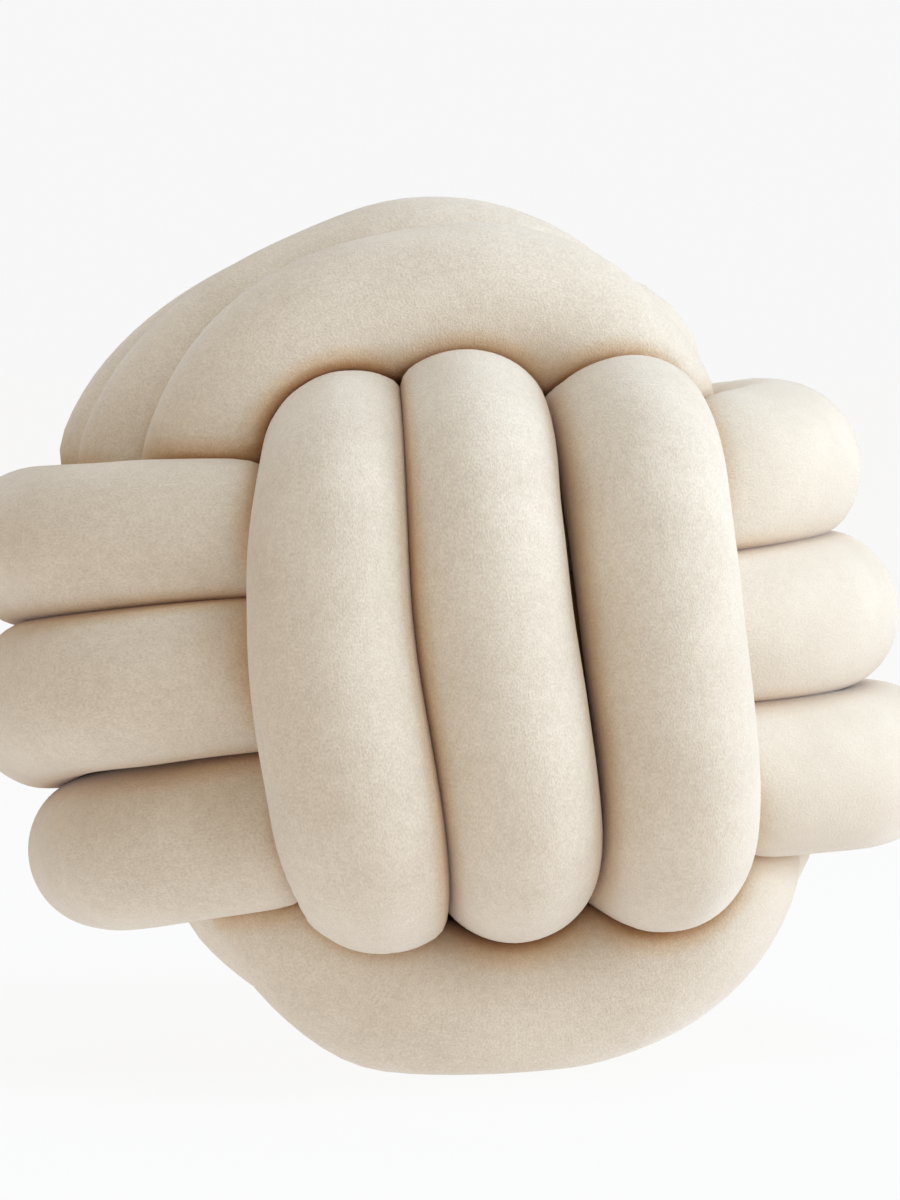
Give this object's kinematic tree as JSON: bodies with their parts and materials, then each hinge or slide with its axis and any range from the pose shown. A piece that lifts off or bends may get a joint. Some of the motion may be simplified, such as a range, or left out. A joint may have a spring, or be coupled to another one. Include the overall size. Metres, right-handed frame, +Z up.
{
  "type": "knot cushion",
  "caption": "Ball-shaped knot cushion: a long stuffed velvet tube tied in crossed bands of side-by-side turns, pressed together, with its ends tucked inside.",
  "frame": {"origin": "on the surface that the cushion rests on, below the middle of its bounding box", "axes": "+Z up; +X to the right, along its longest extent; the upright band shows towards -Y"},
  "size_m": [0.3396, 0.317, 0.2929],
  "materials": {
    "cream_velvet": "short brushed pile"
  },
  "bodies": {
    "root": {"knotted_tube": "cream_velvet"}
  },
  "joints": []
}
